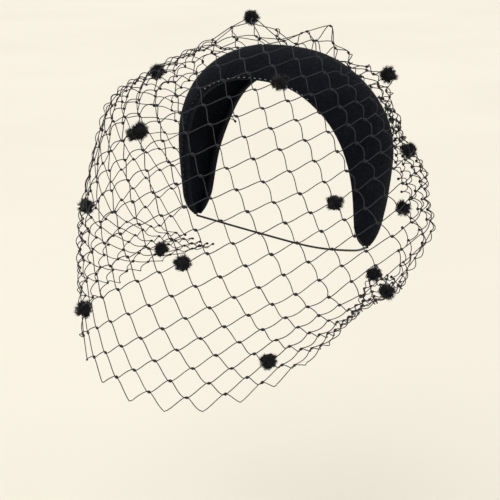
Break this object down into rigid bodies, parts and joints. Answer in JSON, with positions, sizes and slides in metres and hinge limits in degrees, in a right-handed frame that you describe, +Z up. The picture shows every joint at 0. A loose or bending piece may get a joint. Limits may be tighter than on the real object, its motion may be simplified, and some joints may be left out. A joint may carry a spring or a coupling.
{
  "type": "fascinator",
  "caption": "Fascinator: wide hollow black felt halo band, a dotted diamond-mesh birdcage veil sewn behind its crest and hanging below the chin, and a nape elastic.",
  "frame": {"origin": "top of the wearer's head on the midline, where the underside of the band sits", "axes": "+Z up, -Y the way the wearer faces, +X the wearer's left"},
  "size_m": [0.2584, 0.2293, 0.2449],
  "materials": {
    "black_felt": "matt black wool felt, very slightly blue",
    "black_net": "black stiffened veiling yarn with a faint sheen",
    "black_chenille": "fuzzy black chenille",
    "black_elastic": "covered black hat elastic"
  },
  "bodies": {
    "root": {"felt_band": "black_felt", "veil_net": "black_net", "pompom_01": "black_chenille", "pompom_02": "black_chenille", "pompom_03": "black_chenille", "pompom_04": "black_chenille", "pompom_05": "black_chenille", "pompom_06": "black_chenille", "pompom_07": "black_chenille", "pompom_08": "black_chenille", "pompom_09": "black_chenille", "pompom_10": "black_chenille", "pompom_11": "black_chenille", "pompom_12": "black_chenille", "pompom_13": "black_chenille", "pompom_14": "black_chenille", "pompom_15": "black_chenille", "pompom_16": "black_chenille", "pompom_17": "black_chenille", "pompom_18": "black_chenille", "elastic": "black_elastic"}
  },
  "joints": []
}
